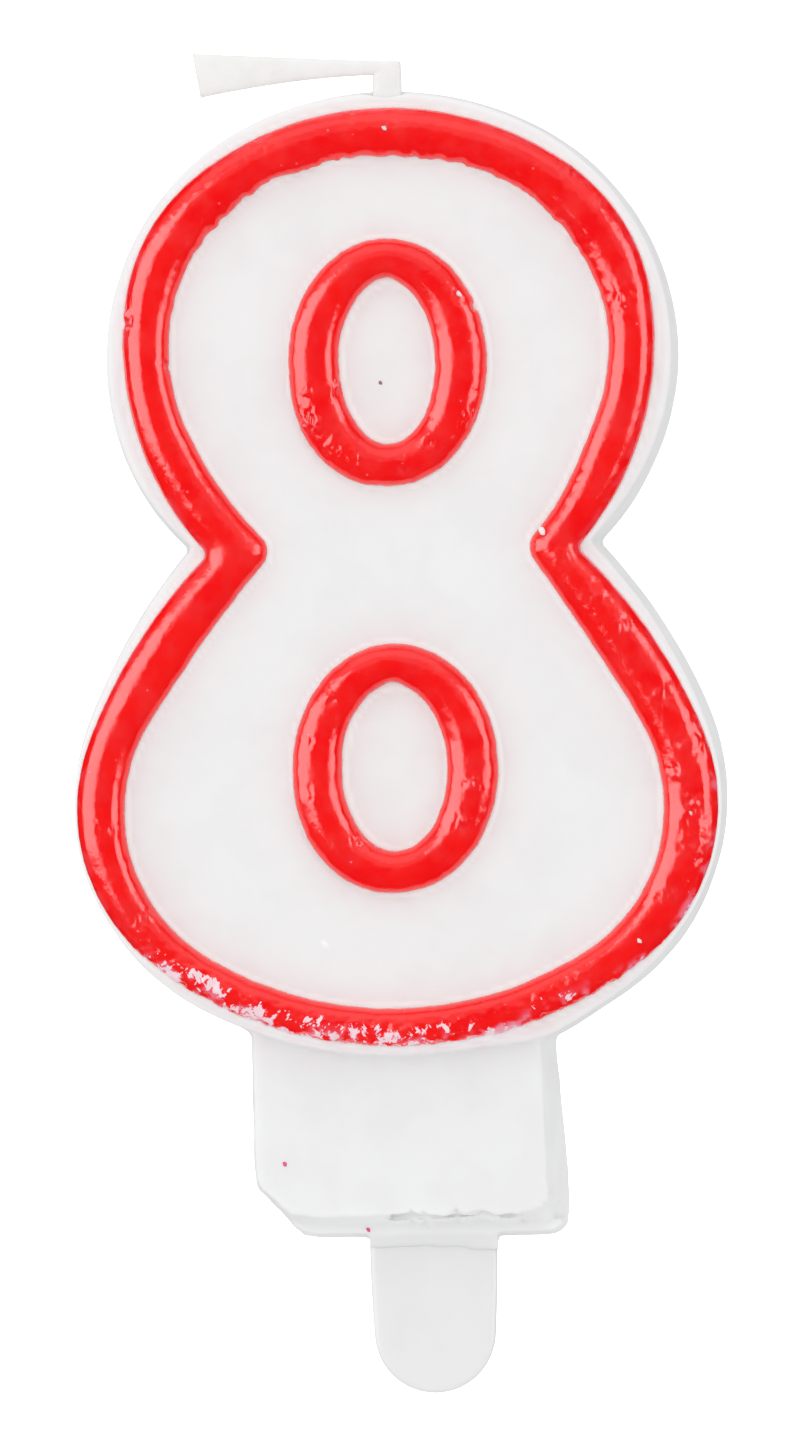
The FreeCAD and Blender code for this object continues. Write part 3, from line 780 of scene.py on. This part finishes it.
def make_outline():
    """The band round the numeral, chalky and flaked along its foot."""
    piece, (px, py, pz), from_edge = bead_piece(
        "red_outline", "outline_bead", OUTLINE_STEP, OUTLINE_SCARS, OUTLINE_NOTCHES, outline_edges
    )
    patches = noise(px, py, pz, 0.9, 51) + 0.5 * noise(px, py, pz, 0.3, 52)
    fringe = smooth_step(0.6, 0.1, from_edge) * smooth_step(-0.5, 0.6, patches)
    low_right = smooth_step(36.0, 24.0, pz) * smooth_step(-4.0, 6.0, px)
    scuffs = SCUFF_CHALK * np.abs(scarred(px, py, pz, OUTLINE_SCARS))
    torn = foot_roughness(px, pz)
    frosted = (0.12 + 0.24 * low_right) * fringe
    frosted += 0.3 * torn * smooth_step(1.4, 0.3, from_edge) * smooth_step(-0.4, 0.6, patches)
    paint(piece, "chalk", np.clip(frosted + scuffs, 0, 1))
    foot = torn * (0.87 + 0.35 * patches)
    paint(piece, "flaked", np.clip(np.maximum(foot, 0.8 * low_right * fringe), 0, 1))


def make_rings():
    """The two ovals round the filled counters."""
    for name, node, scars, notches in (
        ("red_upper_ring", "upper_ring_bead", UPPER_RING_SCARS, UPPER_RING_NOTCHES),
        ("red_lower_ring", "lower_ring_bead", LOWER_RING_SCARS, LOWER_RING_NOTCHES),
    ):
        piece, (px, py, pz), _ = bead_piece(name, node, RING_STEP, scars, notches, ring_edges)
        scuffs = SCUFF_CHALK * np.abs(scarred(px, py, pz, scars))
        paint(piece, "chalk", np.clip(scuffs, 0, 1))
        paint(piece, "flaked", np.zeros(len(px)))


# ---------------------------------------------------------------- the wick

# Points round the wick's section, and the powers that square its sides and its faces.
ROUND_COUNT = 20
SIDE_POWER = 0.45
FACE_POWER = 0.6
STRAND_PITCH = 0.9


def along(points, count):
    """Evenly spaced places along a line of (x, z) points, without the first."""
    points = np.array(points, float)
    lengths = np.concatenate(((0,), np.cumsum(np.linalg.norm(np.diff(points, axis=0), axis=1))))
    at = np.linspace(0, lengths[-1], count + 1)[1:]
    return np.stack([np.interp(at, lengths, points[:, i]) for i in range(2)], -1)


def wick_rows():
    """Points (x, z) of the wick's inner and outer edges, from inside the wax to its cut end."""
    stub_rows, fold_rows, end_rows = 12, 14, 40
    tip_low, tip_high = node_box("wick_tip")
    core_low, core_high = node_box("wick_core")
    left, right = core_low[0], core_high[0]
    foot_z = wax_high[2] - 1.8
    corner_in = (left + 0.1, fold[2] - 0.28)
    corner_out = (right, fold[2] + 0.6)
    round_off = 0.1
    below_in, below_out = (left + 0.08, corner_in[1] - 0.25), (right + 0.03, corner_in[1] - 0.1)
    past_in, past_out = (left - 0.1, corner_in[1] + 0.02), (left + 0.05, corner_out[1] + 0.03)
    inner = [
        along([(left, foot_z), below_in], stub_rows),
        along([below_in, corner_in, past_in], fold_rows),
    ]
    outer = [
        along([(right + 0.08, foot_z), below_out], stub_rows),
        along([below_out, (corner_out[0], corner_out[1] - round_off),
               (corner_out[0] - round_off * 0.3, corner_out[1] - round_off * 0.3),
               (corner_out[0] - round_off, corner_out[1]), past_out], fold_rows),
    ]
    end_in = (tip_low[0] + 0.25, tip_low[2] - 0.1)
    end_out = (tip_low[0] - 0.2, tip_high[2] + 0.1)
    share = np.linspace(0, 1, end_rows + 1)[1:, None]
    sag = np.concatenate((share, share**1.7), 1)
    inner.append(past_in + (np.array(end_in) - past_in) * sag)
    outer.append(past_out + (np.array(end_out) - past_out) * share)
    return list(zip(np.concatenate(inner), np.concatenate(outer)))


def make_wick():
    """One waxed braid from inside the wax, sharply folded, to the flared cut end."""
    rows = wick_rows()
    y_middle = fold[1]
    points, run = [], 0.0
    previous = None
    for inner, outer in rows:
        middle, half = (inner + outer) / 2, (outer - inner) / 2
        if previous is not None:
            run += np.linalg.norm(middle - previous)
        previous = middle
        thickness = 0.5 - 0.1 * smooth_step(3.0, 14.0, run)
        for k in range(ROUND_COUNT):
            angle = 2 * math.pi * k / ROUND_COUNT
            c, s = math.cos(angle), math.sin(angle)
            across = math.copysign(abs(c) ** SIDE_POWER, c)
            through = math.copysign(abs(s) ** FACE_POWER, s)
            turns = run / STRAND_PITCH + abs(across) * 0.9
            strand = 0.02 * math.sin(2 * math.pi * turns) * abs(s)
            spot = middle + half * across
            points.append((spot[0], y_middle + (thickness + strand) * through, spot[1]))
    faces = []
    for row in range(len(rows) - 1):
        for k in range(ROUND_COUNT):
            a, b = row * ROUND_COUNT + k, row * ROUND_COUNT + (k + 1) % ROUND_COUNT
            faces.append((a, b, b + ROUND_COUNT, a + ROUND_COUNT))
    last = (len(rows) - 1) * ROUND_COUNT
    faces.append(tuple(reversed(range(ROUND_COUNT))))
    faces.append(tuple(range(last, last + ROUND_COUNT)))
    piece = make_piece(
        "wick", np.array(points), faces, MATERIALS["waxed_wick"], None,
        ["wick_core", "wick_tip"],
    )
    fix_normals(piece)
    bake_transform(piece)


def fix_normals(piece):
    """Turns every face outwards."""
    shell = bmesh.new()
    shell.from_mesh(piece.data)
    bmesh.ops.recalc_face_normals(shell, faces=shell.faces)
    shell.to_mesh(piece.data)
    shell.free()


# ---------------------------------------------------------------- the pick and stray flecks


def make_pick():
    """The plastic tongue, with its soft moulded edges."""
    pick_low, pick_high = node_box("pick")
    edge = 0.25
    outline, hole = [smooth_loop(loop) for loop in flat_loops("pick", pick_low[1])[:2]]
    step = 0.15
    axes = lattice(pick_low - 0.5, pick_high + 0.5, step)
    x, y, z = np.ix_(*axes)
    taper = 0.05 + 0.05 * smooth_step(-1.5, -7.0, z)
    beside = signed_distance(outline, x, z) + taper
    through = np.abs(y) - (pick_high[1] - edge)
    field = np.hypot(np.maximum(beside, 0), np.maximum(through, 0))
    field = field + np.minimum(np.maximum(beside, through), 0) - edge
    field = np.maximum(field, -signed_distance(hole, x, z))
    points, quads = surface_nets(field, axes)
    points = relax(points, quads, 1)
    make_piece("pick_blade", points, quads, MATERIALS["pick_plastic"], "candle", ["pick"])


def band_top(node, x, z):
    """How far forward a band's surface is at (x, z)."""
    outer, inner = bead_loops[node]
    from_outer, from_inner = -signed_distance(outer, x, z), signed_distance(inner, x, z)
    across = abs(from_inner - from_outer) / (from_inner + from_outer)
    return FACE_Y - BEAD_HEIGHT * max(1 - across**DOME_POWER, 0.0) ** (1 / DOME_POWER)


def make_flecks():
    """Crumbs of coloured wax that stuck where they fell, and white blobs that stand for glints on
    the bands: (name, x, y, z, radius, material).
    """
    flecks = [
        ("red_fleck_1", -9.0, BLOCK_FACE_Y, 4.85, 0.11, "deep_wax"),
        ("red_fleck_2", -4.0, -1.2, 0.55, 0.11, "deep_wax"),
        ("brown_fleck", -2.05, FACE_Y, 53.1, 0.1, "brown_wax"),
    ]
    # White blobs on the red bands: painted glints where bubbles and bumps on the red catch the
    # light.
    on_bands = [
        ("upper_ring_bead", 2.93, 58.45, 0.15),
        ("outline_bead", -1.48, 68.74, 0.13),
        ("outline_bead", 7.75, 43.75, 0.2),
        ("outline_bead", 13.3, 18.4, 0.13),
        ("outline_bead", 16.6, 26.2, 0.09),
    ]
    for number, (node, x, z, radius) in enumerate(on_bands, 1):
        y = band_top(node, x, z)
        flecks.append((f"white_glint_{number}", x, y, z, radius, "white_wax"))
    for number, (name, x, y, z, radius, material) in enumerate(flecks):
        shell = bmesh.new()
        bmesh.ops.create_icosphere(shell, subdivisions=3, radius=radius * MM)
        for v in shell.verts:
            place = v.co / (radius * MM)
            bulge = 1 + 0.35 * float(noise(*(place * 1.3), 1.0, 60 + number))
            v.co = Vector((v.co.x * bulge - v.co.z * 0.4, v.co.y * 0.5, v.co.z * bulge * 1.3))
        mesh = bpy.data.meshes.new(name)
        shell.to_mesh(mesh)
        shell.free()
        mesh.polygons.foreach_set("use_smooth", [True] * len(mesh.polygons))
        mesh.materials.append(MATERIALS[material])
        piece = add_object(name, mesh)
        piece.location = Vector((x, y, z)) * MM
        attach(piece, "candle")


# ---------------------------------------------------------------- studio

# The height that the lamps point at, in millimetres, and their distance from it, in metres.
LIT_Z = 36.0
LAMP_DISTANCE = 0.6


def aim(thing, place, target, roll_degrees=0.0):
    """Puts a lamp or the camera at a place, looking at a target."""
    back = (Vector(place) - Vector(target)).normalized()
    right = Vector((0, 0, 1)).cross(back).normalized()
    up = back.cross(right)
    roll = math.radians(roll_degrees)
    turned_right = right * math.cos(roll) + up * math.sin(roll)
    turned_up = up * math.cos(roll) - right * math.sin(roll)
    axes = Matrix((turned_right, turned_up, back)).transposed().to_4x4()
    thing.matrix_world = Matrix.Translation(Vector(place)) @ axes


def around(target, azimuth, elevation, distance):
    """A place seen from the target at an azimuth, to the right of its front, and an elevation."""
    a, e = math.radians(azimuth), math.radians(elevation)
    back = Vector((math.sin(a) * math.cos(e), -math.cos(a) * math.cos(e), math.sin(e)))
    return Vector(target) + back * distance


def make_camera():
    """A long lens, almost level and straight on, with a slight roll."""
    target = Vector((-1.404, -2.0, 31.813)) * MM
    azimuth, elevation, roll_degrees, distance = 2.3, 0.4, -1.1, 0.6
    data = bpy.data.cameras.new("camera")
    data.sensor_width = 36.0
    data.lens = 239.2
    data.clip_start = 0.01
    data.clip_end = 20.0
    camera = add_object("camera", data)
    aim(camera, around(target, azimuth, elevation, distance), target, roll_degrees)
    bpy.context.scene.camera = camera


def softbox(name, azimuth, elevation, width, height, radiance, glossy_only=False):
    """A rectangular lamp of even brightness, seen in reflections or lighting the surface."""
    target = Vector((axis_x, FACE_Y, LIT_Z)) * MM
    data = bpy.data.lights.new(name, "AREA")
    data.shape = "RECTANGLE"
    data.size, data.size_y = width, height
    data.energy = radiance * math.pi * width * height
    lamp = add_object(name, data)
    aim(lamp, around(target, azimuth, elevation, LAMP_DISTANCE), target)
    lamp.visible_camera = False
    lamp.visible_diffuse = not glossy_only
    lamp.visible_glossy = glossy_only


def make_studio():
    """A white sweep and floor that only the camera sees, and softboxes left, right and above."""
    floor_gap, reach, dome_radius = 0.05, 6.0, 8.0
    floor_z = (node_box("pick")[0][2] - floor_gap) * MM
    glow = plain("white_paper", PAPER, light=1.0)
    floor_mesh = bpy.data.meshes.new("floor")
    corners = [(-reach, -reach, floor_z), (reach, -reach, floor_z), (reach, reach, floor_z),
               (-reach, reach, floor_z)]
    floor_mesh.from_pydata(corners, [], [(0, 1, 2, 3)])
    shell = bmesh.new()
    bmesh.ops.create_icosphere(shell, subdivisions=4, radius=dome_radius)
    dome_mesh = bpy.data.meshes.new("backdrop")
    shell.to_mesh(dome_mesh)
    shell.free()
    for name, mesh in (("floor", floor_mesh), ("backdrop", dome_mesh)):
        mesh.materials.append(glow)
        thing = add_object(name, mesh)
        thing.visible_glossy = False
        thing.visible_diffuse = False
        thing.visible_transmission = False
        thing.visible_shadow = False
    softbox("left_softbox", -52, 8, 0.64, 0.46, 3.4, glossy_only=True)
    softbox("right_softbox", 55, 8, 0.32, 0.46, 3.4, glossy_only=True)
    softbox("ceiling", -5, 75, 0.9, 0.9, 0.5, glossy_only=True)
    softbox("ceiling_front", -5, 45, 1.6, 0.7, 0.4, glossy_only=True)
    softbox("key_light", -25, 35, 0.8, 0.8, 0.35)
    world = bpy.data.worlds.new("studio")
    world.use_nodes = True
    world.node_tree.nodes["Background"].inputs["Color"].default_value = (1, 1, 1, 1)
    world.node_tree.nodes["Background"].inputs["Strength"].default_value = 0.93
    world.cycles_visibility.glossy = False
    bpy.context.scene.world = world
    bpy.context.scene.view_settings.view_transform = "Standard"


MATERIALS = {
    "white_wax": white_wax(),
    "red_wax": red_wax(),
    "waxed_wick": waxed_wick(),
    "pick_plastic": pick_plastic(),
    "deep_wax": plain("deep_wax", CRUMB_RED),
    "brown_wax": plain("brown_wax", CRUMB_BROWN),
}

make_camera()
make_studio()
make_white_body()
make_outline()
make_rings()
make_wick()
make_pick()
make_flecks()
